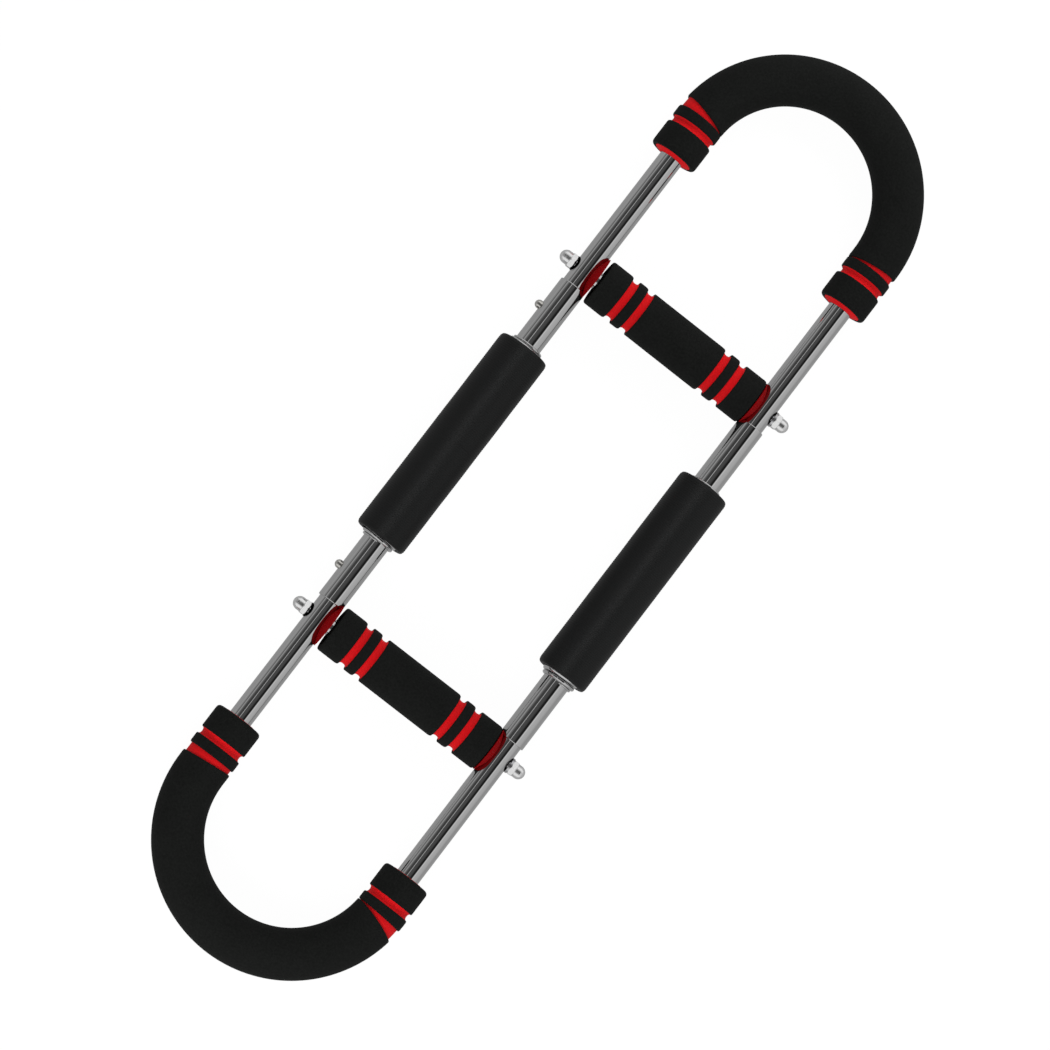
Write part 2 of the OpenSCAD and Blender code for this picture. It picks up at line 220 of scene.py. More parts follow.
def nodeGroup(name, inputs):
    # a Geometry Nodes tree with named inputs; returns the tree and its two end nodes
    tree = bpy.data.node_groups.new(name, "GeometryNodeTree")
    tree.interface.new_socket("Geometry", in_out="INPUT", socket_type="NodeSocketGeometry")
    for label, kind in inputs:
        tree.interface.new_socket(label, in_out="INPUT", socket_type=kind)
    tree.interface.new_socket("Geometry", in_out="OUTPUT", socket_type="NodeSocketGeometry")
    return tree, addNode(tree, "NodeGroupInput"), addNode(tree, "NodeGroupOutput")


def grown(piece, tree, values):
    # runs a tree on a piece and keeps the result as its plain mesh
    modifier = piece.modifiers.new(tree.name, "NODES")
    modifier.node_group = tree
    for item in tree.interface.items_tree:
        if item.in_out == "INPUT" and item.name in values:
            modifier[item.identifier] = values[item.name]
    bpy.context.view_layer.update()
    shaped = piece.evaluated_get(bpy.context.evaluated_depsgraph_get())
    mesh = bpy.data.meshes.new_from_object(shaped)
    piece.modifiers.clear()
    piece.data = mesh
    return piece


cameraSetup = {
    "distance": 4.5,            # metres from the middle of the bar
    "tiltAlong": -6.0,          # degrees about X
    "tiltAcross": 5.34,         # degrees about Y
    "roll": -38.01,             # degrees about the line of sight
    "offset": (-0.0055, -0.0170),
    "lens": 176.2,              # mm on a 36 mm sensor
}


def makeCamera():
    setup = cameraSetup
    turnAlong = Matrix.Rotation(math.radians(setup["tiltAlong"]), 4, "X")
    turnAcross = Matrix.Rotation(math.radians(setup["tiltAcross"]), 4, "Y")
    roll = Matrix.Rotation(math.radians(setup["roll"]), 4, "Z")
    shift = Matrix.Translation((-setup["offset"][0], -setup["offset"][1], -setup["distance"]))
    toCamera = roll @ shift @ turnAcross @ turnAlong @ Matrix.Translation((0, 0, -axisZ))
    camera = bpy.data.objects.new("camera", bpy.data.cameras.new("camera"))
    bpy.context.scene.collection.objects.link(camera)
    camera.matrix_world = toCamera.inverted()
    camera.data.lens = setup["lens"]
    camera.data.sensor_width = 36
    camera.data.clip_end = 60
    bpy.context.scene.camera = camera


makeCamera()
print("camera placed")


foamFinish = {
    "blackCode": "#191a19", "redCode": "#ea141b", "sleeveCode": "#090a0a",
    "grainMm": 1.9,             # cells of the foam, drawn as coarse as they need to show
    "mottleMm": 22.0,           # slow change of tone from moulding
}
coreFit = 0.1 * mm              # gap between the red foam and the tube in it


def newMaterial(name):
    material = bpy.data.materials.new(name)
    material.use_nodes = True
    tree = material.node_tree
    tree.nodes.clear()
    shader = addNode(tree, "ShaderNodeBsdfPrincipled")
    addNode(tree, "ShaderNodeOutputMaterial", links={"Surface": shader.outputs[0]})
    where = addNode(tree, "ShaderNodeTexCoord").outputs["Object"]
    return material, tree, shader, where


def foam(name, code, tone, roughness, grainBump, gloss):
    # closed-cell rubber foam, ground smooth after moulding: matte with a soft wide highlight
    material, tree, shader, where = newMaterial(name)
    grain = addNode(tree, "ShaderNodeTexNoise",
                    {"Scale": 1 / (foamFinish["grainMm"] * mm), "Detail": 3.0, "Roughness": 0.6}, {"Vector": where})
    mottle = addNode(tree, "ShaderNodeTexNoise",
                     {"Scale": 1 / (foamFinish["mottleMm"] * mm), "Detail": 2.0}, {"Vector": where})
    both = addNode(tree, "ShaderNodeMath", {"operation": "MULTIPLY_ADD", 1: 0.2},
                   {0: mottle.outputs["Fac"], 2: grain.outputs["Fac"]})
    ramp = addNode(tree, "ShaderNodeValToRGB", links={"Fac": both.outputs[0]})
    base = linearColour(code)
    ramp.color_ramp.elements[0].position = 0.45
    ramp.color_ramp.elements[1].position = 0.75
    ramp.color_ramp.elements[0].color = [c * (1 - tone) for c in base[:3]] + [1]
    ramp.color_ramp.elements[1].color = [min(1, c * (1 + tone)) for c in base[:3]] + [1]
    tree.links.new(ramp.outputs["Color"], shader.inputs["Base Color"])
    dull = addNode(tree, "ShaderNodeMapRange", {"To Min": roughness - 0.06, "To Max": roughness + 0.06},
                   {"Value": grain.outputs["Fac"]})
    tree.links.new(dull.outputs["Result"], shader.inputs["Roughness"])
    bump = addNode(tree, "ShaderNodeBump", {"Strength": grainBump, "Distance": 0.15 * mm},
                   {"Height": grain.outputs["Fac"]})
    tree.links.new(bump.outputs["Normal"], shader.inputs["Normal"])
    shader.inputs["IOR"].default_value = 1.45
    shader.inputs["Specular IOR Level"].default_value = gloss
    return material


chromeFinish = {
    "code": "#c6c6c6",
    "roughness": 0.045,         # bright plating over polished tube
    "drawMm": 0.9,              # width of the faint lines left by drawing the tube
}


def chrome(name, code, roughness, lines):
    # chromium plate over polished steel: mirror bright, with faint lines along the tube
    material, tree, shader, where = newMaterial(name)
    shader.inputs["Base Color"].default_value = linearColour(code)
    shader.inputs["Metallic"].default_value = 1.0
    stretch = addNode(tree, "ShaderNodeMapping", {"Scale": (1.0, 0.02, 1.0)}, {"Vector": where})
    streaks = addNode(tree, "ShaderNodeTexNoise", {"Scale": 1 / (chromeFinish["drawMm"] * mm), "Detail": 2.0},
                      {"Vector": stretch.outputs[0]})
    haze = addNode(tree, "ShaderNodeTexNoise", {"Scale": 1 / (30 * mm), "Detail": 3.0}, {"Vector": where})
    rough = addNode(tree, "ShaderNodeMapRange", {"To Min": roughness * 0.7, "To Max": roughness * 1.5},
                    {"Value": haze.outputs["Fac"]})
    tree.links.new(rough.outputs["Result"], shader.inputs["Roughness"])
    bump = addNode(tree, "ShaderNodeBump", {"Strength": lines, "Distance": 0.02 * mm},
                   {"Height": streaks.outputs["Fac"]})
    tree.links.new(bump.outputs["Normal"], shader.inputs["Normal"])
    return material


def steel(name, code, roughness):
    # zinc or nickel plated steel: duller than chrome, with a soft cloudy finish
    material, tree, shader, where = newMaterial(name)
    shader.inputs["Metallic"].default_value = 1.0
    cloud = addNode(tree, "ShaderNodeTexNoise", {"Scale": 1 / (2.5 * mm), "Detail": 4.0}, {"Vector": where})
    ramp = addNode(tree, "ShaderNodeValToRGB", links={"Fac": cloud.outputs["Fac"]})
    base = linearColour(code)
    ramp.color_ramp.elements[0].color = [c * 0.85 for c in base[:3]] + [1]
    ramp.color_ramp.elements[1].color = base
    tree.links.new(ramp.outputs["Color"], shader.inputs["Base Color"])
    rough = addNode(tree, "ShaderNodeMapRange", {"To Min": roughness - 0.05, "To Max": roughness + 0.07},
                    {"Value": cloud.outputs["Fac"]})
    tree.links.new(rough.outputs["Result"], shader.inputs["Roughness"])
    return material


def mouldedPlastic(name, code):
    # injection-moulded polypropylene: even colour, satin, with a fine spark-eroded grain
    material, tree, shader, where = newMaterial(name)
    grain = addNode(tree, "ShaderNodeTexNoise", {"Scale": 1 / (0.9 * mm), "Detail": 3.0}, {"Vector": where})
    ramp = addNode(tree, "ShaderNodeValToRGB", links={"Fac": grain.outputs["Fac"]})
    base = linearColour(code)
    ramp.color_ramp.elements[0].color = [c * 0.95 for c in base[:3]] + [1]
    ramp.color_ramp.elements[1].color = base
    tree.links.new(ramp.outputs["Color"], shader.inputs["Base Color"])
    rough = addNode(tree, "ShaderNodeMapRange", {"To Min": 0.5, "To Max": 0.62}, {"Value": grain.outputs["Fac"]})
    tree.links.new(rough.outputs["Result"], shader.inputs["Roughness"])
    bump = addNode(tree, "ShaderNodeBump", {"Strength": 0.02, "Distance": 0.05 * mm}, {"Height": grain.outputs["Fac"]})
    tree.links.new(bump.outputs["Normal"], shader.inputs["Normal"])
    shader.inputs["Specular IOR Level"].default_value = 0.05
    shader.inputs["IOR"].default_value = 1.49
    return material


blackFoam = foam("blackRubberFoam", foamFinish["blackCode"], 0.22, 0.72, 0.25, 0.08)
sleeveFoam = foam("ribbedBlackFoam", foamFinish["sleeveCode"], 0.05, 0.52, 0.02, 0.3)
redFoam = foam("redRubberFoam", foamFinish["redCode"], 0.05, 0.66, 0.15, 0.15)
tubeChrome = chrome("chromePlatedTube", chromeFinish["code"], chromeFinish["roughness"], 0.05)
springChrome = chrome("chromePlatedSpring", "#c6c6c6", 0.09, 0.1)
nutChrome = chrome("chromePlatedNut", "#e6e6e6", 0.27, 0.0)
zincSteel = steel("zincPlatedSteel", "#c4c4c6", 0.3)
nickelSteel = steel("nickelPlatedSteel", "#cfcdc8", 0.22)
springSteel = steel("blueSpringSteel", "#7e8288", 0.35)
blackSteel = steel("blackOxideSteel", "#1e1e20", 0.45)
saddlePlastic = mouldedPlastic("darkRedPlastic", "#940309")
print("materials made")


tubeShape = {"wallMm": 1.5, "socketWallMm": 1.55, "lipMm": 0.5, "mouthLipMm": 0.8, "bendStepMm": 4.0}


def makeTubes():
    size = {name[:-2]: value * mm for name, value in tubeShape.items()}
    wall, socketWall, lip = size["wall"], size["socketWall"], size["lip"]
    reach = bendY - legEnd
    for end, sign in ends.items():
        corners = [(-reach, tubeR - wall, lip), (-reach, tubeR, lip),
                   (arcLength + reach, tubeR, lip), (arcLength + reach, tubeR - wall, lip)]
        profile = divided(rounded(corners, 3), size["bendStep"])
        tube = turned(end + "HandleTube", profile, alongHandle(sign))
        dress(tube, tubeChrome, "chrome_tube", end + "_half", end + "_u_tube")
        for side, across in sides.items():
            profile = rounded([(socketInner, socketR - socketWall, lip), (socketInner, socketR, lip),
                               (socketMouth, socketR, size["mouthLip"]), (socketMouth, socketR - socketWall, lip)])
            socket = turned(side + end.capitalize() + "Socket", profile, alongLeg(across, sign))
            dress(socket, tubeChrome, "chrome_tube", end + "_half", f"{side}_{end}_socket")


makeTubes()
print("tubes made")


handleFoam = {
    "cuffMm": 24.0, "grooveMm": 6.5, "ringMm": 10.0,
    "legMm": 44.0,              # how far the foam runs down the legs
    "slipMm": {"near": -10.0, "far": 6.0},      # how far it was pushed round the bend
    "underMm": 0.5,             # how far the black layer reaches into the red one
    "edgeMm": 1.7,              # rounding of the cut edges beside a groove
    "shoulderMm": 3.4,          # rounder outer end of a cuff
    "lipMm": 1.6, "lipRadiusMm": {"near": 14.2, "far": 18.6},   # black skin folded over the foam's ends
    "lipEdgeMm": 0.8, "swellMm": {"near": 1.6 / 3, "far": 0.0},
    "coneMm": {"near": 0.8, "far": 2.4},        # how far the red stands out of its cuff at the tube
    "coneRimMm": {"near": 0.8, "far": 0.0},     # the same at the rim of the black lip
    "dipMm": 0.9, "riseMm": 1.1, "tuckMm": 0.4,     # a groove's hollow, its sides, and its hidden margin
    "wedgeDegrees": 8.8, "wedgeGain": 0.25,     # slant of the main stretch's ends, and its change with slip
    "gapMm": {"near": (3.6, 0.4), "far": (0.4, 0.4)},
    "fadeMm": 40.0,             # where that slant has died away
    "stepMm": 4.0,
}


def foamStretch(start, finish, innerR, outerR, firstEdge, lastEdge):
    return rounded([(start, innerR, 0), (start, outerR, firstEdge), (finish, outerR, lastEdge), (finish, innerR, 0)])


def grooveFloor(first, last, radius, dip, rise, steps=13):
    # a hollow between two cuts, which rises to the black foam on both sides
    return [(first + (last - first) * (t + 1) / 2, radius - dip + (dip + rise) * abs(t) ** 3)
            for t in np.linspace(-1, 1, steps)]


def makeHandleFoam():
    outerR, coreR = halfOf("far_u_grip", 2), halfOf("far_u_grip_core", 2)
    for end, sign in ends.items():
        # this end's sizes in metres; the gaps are for the two ends of the main stretch
        size = {name[:-2]: (value[end] if isinstance(value, dict) else value)
                for name, value in handleFoam.items() if name.endswith("Mm")}
        gaps = [gap * mm for gap in size.pop("gap")]
        size = {name: value * mm for name, value in size.items()}
        slip, cuff, groove, ring, edge = (size[name] for name in ("slip", "cuff", "groove", "ring", "edge"))
        under, lip, step = coreR - size["under"], size["lip"], size["step"]
        start, finish = slip - size["leg"], arcLength + size["leg"] + slip
        band = cuff + groove + ring
        low, high = start + band + gaps[0], finish - band - gaps[1]
        place = alongHandle(sign)
        # main stretch, its ends slanting away from the grooves on the outside of the bend
        slants = [math.radians(handleFoam["wedgeDegrees"] + handleFoam["wedgeGain"] * s * slip / mm) for s in (1, -1)]

        def leaning(s, out):
            first = math.tan(slants[0]) * max(0, 1 - (s - low) / size["fade"])
            last = math.tan(slants[1]) * max(0, 1 - (high - s) / size["fade"])
            return (first - last) * (outerR + out)

        profile = divided(foamStretch(low, high, under, outerR, edge, edge), step)
        main = turned(end + "BendFoam", profile, place, lean=leaning)
        dress(main, blackFoam, "black_foam", end + "_half", end + "_u_grip")
        lipR = size["lipRadius"]
        ringProfile = foamStretch(start + cuff + groove, start + band, under, outerR, edge, edge)
        cuffProfile = rounded([(start + lip, under, 0), (start + lip, lipR, 0),
                               (start - size["swell"], lipR, size["lipEdge"]),
                               (start, outerR, size["shoulder"] * 1.15), (start + cuff, outerR, edge),
                               (start + cuff, under, 0)])
        for label, profile, node in (("Ring", ringProfile, "_u_grip_rings"), ("Cuff", cuffProfile, "_u_grip_cuffs")):
            mirrored = [(start + finish - s, r) for s, r in profile]
            shells = [turned(f"{end}Bend{label}{i}", divided(line, step), place)
                      for i, line in enumerate((profile, mirrored))]
            pair = joined(shells, end + "Bend" + label + "s")
            dress(pair, blackFoam, "black_foam", end + "_half", end + node)
        # red core with a hollow floor in every groove and a cone at each end
        wide = 2 * outerR * math.tan(max(slants)) + max(gaps)
        outer = [(start - size["cone"], tubeR + 0.4 * mm), (start - size["coneRim"], lipR - 0.3 * mm),
                 (start + lip, lipR - 0.2 * mm), (start + lip + 0.3 * mm, coreR)]
        outer += grooveFloor(start + cuff - size["tuck"], start + cuff + groove + size["tuck"],
                             coreR, size["dip"], size["rise"])
        outer += [(start + band - mm, coreR), (start + band + wide + step, coreR)]
        mirrored = [(start + finish - s, r) for s, r in reversed(outer)]
        inner = [(finish, tubeR + coreFit), (start, tubeR + coreFit)]
        core = turned(end + "BendCore", divided(outer + mirrored + inner, step), place)
        dress(core, redFoam, "red_foam", end + "_half", end + "_u_grip_core")


makeHandleFoam()
print("handle foam made")


barFoam = {
    "cuffMm": 22.5, "grooveMm": 7.0, "ringMm": 9.5,
    "edgeMm": 0.9, "shoulderMm": 3.4,   # rounding of a stretch's left and right edges
    "endMm": 2.6, "lipMm": 1.4,         # rounding of the outer ends, and the skin folded over them
    "underMm": 0.5, "dipMm": 0.8, "riseMm": 1.5, "tuckMm": 0.4,
}


def makeBarFoam():
    size = {name[:-2]: value * mm for name, value in barFoam.items()}
    cuff, groove, ring, tuck = size["cuff"], size["groove"], size["ring"], size["tuck"]
    edge, shoulder, end, lip = size["edge"], size["shoulder"], size["end"], size["lip"]
    low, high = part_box("far_crossbar_core")[0][0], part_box("far_crossbar_core")[1][0]
    outerR, coreR = halfOf("far_crossbar_grip", 2), halfOf("far_crossbar_core", 2)
    innerR = halfOf("far_crossbar_tube", 2) + coreFit
    under, inset = coreR - size["under"], cuff + groove
    # each stretch of black foam with the rounding of its two edges
    stretches = {
        "Cuffs": ("_crossbar_cuffs", [(low, low + cuff, end, shoulder), (high - cuff, high, edge, end)]),
        "Rings": ("_crossbar_rings", [(low + inset, low + inset + ring, edge, shoulder),
                                      (high - inset - ring, high - inset, edge, shoulder)]),
        "Grip": ("_crossbar_grip", [(low + inset + ring + groove, high - inset - ring - groove, edge, shoulder)]),
    }
    for half, sign in ends.items():
        place = alongBar(sign)
        for label, (node, spans) in stretches.items():
            shells = []
            for i, (a, b, first, last) in enumerate(spans):
                profile = foamStretch(a, b, under, outerR, first, last)
                if label == "Cuffs":    # the black skin folds over the foam's two ends
                    face = [(b - lip, under), (b - lip, innerR), (b, innerR)]
                    if i == 0:
                        face = [(a + b - s, r) for s, r in reversed(face)]
                        profile = face + profile[1:]
                    else:
                        profile = profile[:-1] + list(reversed(face))
                shells.append(turned(f"{half}Bar{label}{i}", profile, place))
            band = joined(shells, half + "Bar" + label)
            dress(band, blackFoam, "black_foam", half + "_half", half + node)
        cuts = [low + cuff, low + inset + ring, high - inset - ring - groove, high - cuff - groove]
        outer = [(low + lip, coreR)]
        for cut in cuts:
            outer += grooveFloor(cut - tuck, cut + groove + tuck, coreR, size["dip"], size["rise"])
        outer += [(high - lip, coreR), (high - lip, innerR), (low + lip, innerR)]
        core = turned(half + "BarCore", outer, place)
        dress(core, redFoam, "red_foam", half + "_half", half + "_crossbar_core")


makeBarFoam()
print("crossbar foam made")


springShape = {
    "wireMm": 5.5, "gapMm": 0.1, "taperTurns": 2.0, "tip": 0.25, "clearMm": 0.15,
    "stepsPerTurn": 40, "wireSides": 16,
}


def springTree():
    tree, source, sink = nodeGroup("wireSweep", [("Wire Sides", "NodeSocketInt"), ("Finish", "NodeSocketMaterial")])
    curve = addNode(tree, "GeometryNodeMeshToCurve", links={"Mesh": source.outputs["Geometry"]})
    thick = addNode(tree, "GeometryNodeInputNamedAttribute", {"data_type": "FLOAT"})
    thick.inputs["Name"].default_value = "thickness"
    sized = addNode(tree, "GeometryNodeSetCurveRadius",
                    links={"Curve": curve.outputs[0], "Radius": thick.outputs["Attribute"]})
    section = addNode(tree, "GeometryNodeCurvePrimitiveCircle", {"Radius": 1.0},
                      {"Resolution": source.outputs["Wire Sides"]})
    wire = addNode(tree, "GeometryNodeCurveToMesh", {"Fill Caps": True},
                   {"Curve": sized.outputs[0], "Profile Curve": section.outputs[0]})
    if "Scale" in wire.inputs:
        tree.links.new(thick.outputs["Attribute"], wire.inputs["Scale"])
    whole = addNode(tree, "GeometryNodeRealizeInstances", links={"Geometry": wire.outputs[0]})
    smooth = addNode(tree, "GeometryNodeSetShadeSmooth", {"Shade Smooth": True}, {"Geometry": whole.outputs[0]})
    finish = addNode(tree, "GeometryNodeSetMaterial",
                     links={"Geometry": smooth.outputs[0], "Material": source.outputs["Finish"]})
    tree.links.new(finish.outputs[0], sink.inputs["Geometry"])
    return tree


def makeSprings():
    size = springShape
    wire, gap = size["wireMm"] * mm, size["gapMm"] * mm
    pitch = wire + gap
    taper = gap * size["taperTurns"] + wire * size["taperTurns"] * (1 + size["tip"]) / 2
    tree = springTree()
    boreR = socketR + size["clearMm"] * mm
    for side, across in sides.items():
        half = halfOf(side + "_spring", 1)
        bodyTurns = (half - taper - wire * size["tip"] / 2) / pitch
        for end, sign in ends.items():
            turns = np.linspace(0, bodyTurns + size["taperTurns"], int((bodyTurns + 2) * size["stepsPerTurn"]))
            thin = np.maximum(turns - bodyTurns, 0)
            thickness = wire * (1 - (1 - size["tip"]) * thin / size["taperTurns"])
            along = (pitch * (turns - thin) + gap * thin
                     + wire * (thin - (1 - size["tip"]) * thin ** 2 / (2 * size["taperTurns"])))
            angle = 2 * math.pi * turns * sign
            radius = boreR + thickness / 2
            points = np.stack([across * (legX + radius * np.cos(angle)), sign * along,
                               axisZ - radius * np.sin(angle)], axis=-1)
            mesh = bpy.data.meshes.new(f"{side}{end.capitalize()}Spring")
            mesh.from_pydata([tuple(p) for p in points], [(i, i + 1) for i in range(len(points) - 1)], [])
            values = mesh.attributes.new("thickness", "FLOAT", "POINT").data
            values.foreach_set("value", (thickness / 2).astype(np.float32))
            coil = bpy.data.objects.new(mesh.name, mesh)
            bpy.context.scene.collection.objects.link(coil)
            grown(coil, tree, {"Wire Sides": size["wireSides"], "Finish": springChrome})
            work = bmesh.new()
            work.from_mesh(coil.data)
            bmesh.ops.recalc_face_normals(work, faces=work.faces)
            work.to_mesh(coil.data)
            work.free()
            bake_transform(coil)
            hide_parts(side + "_spring")


makeSprings()
print("springs made")


sleeveShape = {
    "ribMm": 2.0, "ribHeightMm": 0.10,      # fine rings left by winding and grinding
    "waveMm": 0.25, "waveLengthMm": 34.0,   # slow unevenness from the coils below
    "roundMm": 5.5, "mouthMm": 1.2,         # rounding of the outer and inner edge
    "squeezeMm": 0.3,                       # how far the foam presses in over the coils
    "skinMm": 1.5,                          # depth of the wall that the ribs move
    "stepMm": 0.33, "coarser": 10,          # mesh steps outside, and how much longer they are inside
}


def ribTree():
    # pushes the outer wall in and out: fine rings round it and a slow unevenness along it
    inputs = [("Rib Pitch", "NodeSocketFloat"), ("Rib Height", "NodeSocketFloat"), ("Wave Length", "NodeSocketFloat"),
              ("Wave Height", "NodeSocketFloat"), ("Seed", "NodeSocketFloat"), ("Finish", "NodeSocketMaterial")]
    tree, source, sink = nodeGroup("sleeveRibs", inputs)
    where = addNode(tree, "GeometryNodeInputPosition")
    parts = addNode(tree, "ShaderNodeSeparateXYZ", links={"Vector": where.outputs[0]})
    turnsAlong = addNode(tree, "ShaderNodeMath", {"operation": "DIVIDE"},
                         {0: parts.outputs["Y"], 1: source.outputs["Rib Pitch"]})
    angle = addNode(tree, "ShaderNodeMath", {"operation": "MULTIPLY", 1: 2 * math.pi}, {0: turnsAlong.outputs[0]})
    ripple = addNode(tree, "ShaderNodeMath", {"operation": "COSINE"}, {0: angle.outputs[0]})
    rib = addNode(tree, "ShaderNodeMath", {"operation": "MULTIPLY"},
                  {0: ripple.outputs[0], 1: source.outputs["Rib Height"]})
    scale = addNode(tree, "ShaderNodeMath", {"operation": "DIVIDE", 0: 1.0}, {1: source.outputs["Wave Length"]})
    uneven = addNode(tree, "ShaderNodeTexNoise", {"noise_dimensions": "4D", "Detail": 1.0},
                     {"Vector": where.outputs[0], "W": source.outputs["Seed"], "Scale": scale.outputs[0]})
    centred = addNode(tree, "ShaderNodeMath", {"operation": "SUBTRACT", 1: 0.5}, {0: uneven.outputs["Fac"]})
    wave = addNode(tree, "ShaderNodeMath", {"operation": "MULTIPLY"},
                   {0: centred.outputs[0], 1: source.outputs["Wave Height"]})
    total = addNode(tree, "ShaderNodeMath", {"operation": "ADD"}, {0: rib.outputs[0], 1: wave.outputs[0]})
    mask = addNode(tree, "GeometryNodeInputNamedAttribute", {"data_type": "FLOAT"})
    mask.inputs["Name"].default_value = "outerWall"
    kept = addNode(tree, "ShaderNodeMath", {"operation": "MULTIPLY"},
                   {0: total.outputs[0], 1: mask.outputs["Attribute"]})
    normal = addNode(tree, "GeometryNodeInputNormal")
    push = addNode(tree, "ShaderNodeVectorMath", {"operation": "SCALE"},
                   {"Vector": normal.outputs[0], "Scale": kept.outputs[0]})
    moved = addNode(tree, "GeometryNodeSetPosition",
                    links={"Geometry": source.outputs["Geometry"], "Offset": push.outputs[0]})
    whole = addNode(tree, "GeometryNodeRealizeInstances", links={"Geometry": moved.outputs[0]})
    finish = addNode(tree, "GeometryNodeSetMaterial",
                     links={"Geometry": whole.outputs[0], "Material": source.outputs["Finish"]})
    tree.links.new(finish.outputs[0], sink.inputs["Geometry"])
    return tree


sleeveGroup = bpy.data.collections.new("sleeves")


def makeSleeves():
    size = sleeveShape
    tree = ribTree()
    for index, (side, across) in enumerate(sides.items()):
        low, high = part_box(side + "_sleeve")[0][1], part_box(side + "_sleeve")[1][1]
        outerR = halfOf(side + "_sleeve", 2) - size["waveMm"] * mm
        boreR = halfOf(side + "_spring", 2) - size["squeezeMm"] * mm
        for end, sign in ends.items():
            tip = abs(low) if sign < 0 else high
            outer = rounded([(0, outerR, 0), (tip, outerR, size["roundMm"] * mm),
                             (tip, boreR, size["mouthMm"] * mm), (0, boreR, 0)], 9)
            profile = []
            for i, p in enumerate(outer):
                profile.append(p)
                q = outer[(i + 1) % len(outer)]
                length, step = abs(q[0] - p[0]), size["stepMm"] * mm
                if length > 3 * step:
                    steps = int(length / (step * (1 if p[1] > outerR - mm else size["coarser"])))
                    profile += [(p[0] + (q[0] - p[0]) * k / steps, p[1] + (q[1] - p[1]) * k / steps)
                                for k in range(1, steps)]
            sleeve = turned(f"{side}{end.capitalize()}Sleeve", profile, alongLeg(across, sign), sharpAngle=60)
            points = np.array([v.co for v in sleeve.data.vertices])
            reach = np.hypot(points[:, 0] - across * legX, points[:, 2] - axisZ)
            mask = np.clip((reach - (outerR - size["skinMm"] * mm)) / mm, 0, 1)
            values = sleeve.data.attributes.new("outerWall", "FLOAT", "POINT").data
            values.foreach_set("value", mask.astype(np.float32))
            grown(sleeve, tree, {"Rib Pitch": size["ribMm"] * mm, "Rib Height": size["ribHeightMm"] * mm,
                                 "Wave Length": size["waveLengthMm"] * mm, "Wave Height": size["waveMm"] * 2 * mm,
                                 "Seed": float(index + 3), "Finish": sleeveFoam})
            sleeveGroup.objects.link(sleeve)
            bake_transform(sleeve)
            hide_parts(side + "_sleeve", side + "_sleeve_core")


makeSleeves()
print("sleeves made")


nutShape = {"acrossFlatsMm": 13.0, "hexMm": 5.0, "neckMm": 3.5, "domeMm": 12.4, "boreMm": 8.1, "cornerMm": 0.9}


def makeNuts():
    size = nutShape
    flat = size["acrossFlatsMm"] / 2 * mm
    hexTop, neckTop = size["hexMm"] * mm, (size["hexMm"] + size["neckMm"]) * mm
    domeR, corner = size["domeMm"] / 2 * mm, size["cornerMm"] * mm
    sixth = math.pi / 3
    reach = flat / math.cos(sixth / 2)

    def hexRadius(s, r, angles):
        if s > hexTop:
            return np.full(len(angles), r)
        return np.minimum(r, flat / np.cos((angles + sixth / 2) % sixth - sixth / 2))

    levels = [(0.0, size["boreMm"] / 2 * mm), (0.0, flat)]
    levels += [(corner * t, flat + (reach - flat) * t ** 0.7) for t in (0.25, 0.5, 0.75, 1.0)]
    levels += [(hexTop - corner * t, flat + (reach - flat) * t ** 0.7) for t in (1.0, 0.75, 0.5, 0.25)]
    # a small hollow corner, the neck, then the dome
    levels += [(hexTop, flat * 0.99), (hexTop + 0.02 * mm, domeR + 0.25 * mm), (hexTop + 0.3 * mm, domeR),
               (neckTop, domeR)]
    levels += [(neckTop + domeR * math.sin(a), domeR * math.cos(a)) for a in np.linspace(0.12, math.pi / 2 - 0.02, 14)]
    for end, sign in ends.items():
        nuts = []
        for side, across in sides.items():
            washer = end + ("_flat_washer" if across < 0 else "_lock_washer")
            face = abs(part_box(washer)[0][0] if across < 0 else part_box(washer)[1][0]) - legX
            profile = [(face + s, r) for s, r in levels]
            nuts.append(turned(f"{end}{side}Nut", profile, acrossLeg(across, sign * barY), closed=False,
                               radiusAt=lambda s, r, angles: hexRadius(s - face, r, angles), sharpAngle=28))
        both = joined(nuts, end + "AcornNuts")
        dress(both, nutChrome, "chrome_nut", end + "_half", end + "_acorn_nuts")


buttonShape = {"radiusMm": 4.0, "flangeMm": 1.2, "cornerMm": 0.2}


def makeButtons():
    buttonR, flange, corner = (buttonShape[name] * mm for name in ("radiusMm", "flangeMm", "cornerMm"))
    for end, sign in ends.items():
        low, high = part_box(end + "_snap_button")
        tip = -low[0] - legX
        foot = -high[0] - legX
        flangeR = halfOf(end + "_snap_button", 1)
        profile = [(foot, flangeR - corner), (foot + corner, flangeR), (foot + flange - corner, flangeR),
                   (foot + flange, flangeR - corner), (foot + flange, buttonR)]
        profile += [(tip - buttonR + buttonR * math.sin(a), buttonR * math.cos(a))
                    for a in np.linspace(0, math.pi / 2 - 0.03, 14)]
        button = turned(end + "SnapButton", profile, acrossLeg(-1, sign * buttonY), count=64, closed=False)
        dress(button, nickelSteel, "nickel_steel", end + "_button", end + "_snap_button")


makeNuts()
makeButtons()
keptNodes = {"_crossbar_tube": tubeChrome, "_saddle_washers": saddlePlastic, "_through_rod": zincSteel,
             "_flat_washer": blackSteel, "_lock_washer": zincSteel, "_button_spring": springSteel}
for end in ends:
    for suffix, material in keptNodes.items():
        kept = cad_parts[end + suffix]
        for holder in kept.material_slots:
            holder.material = material
print("hardware made")


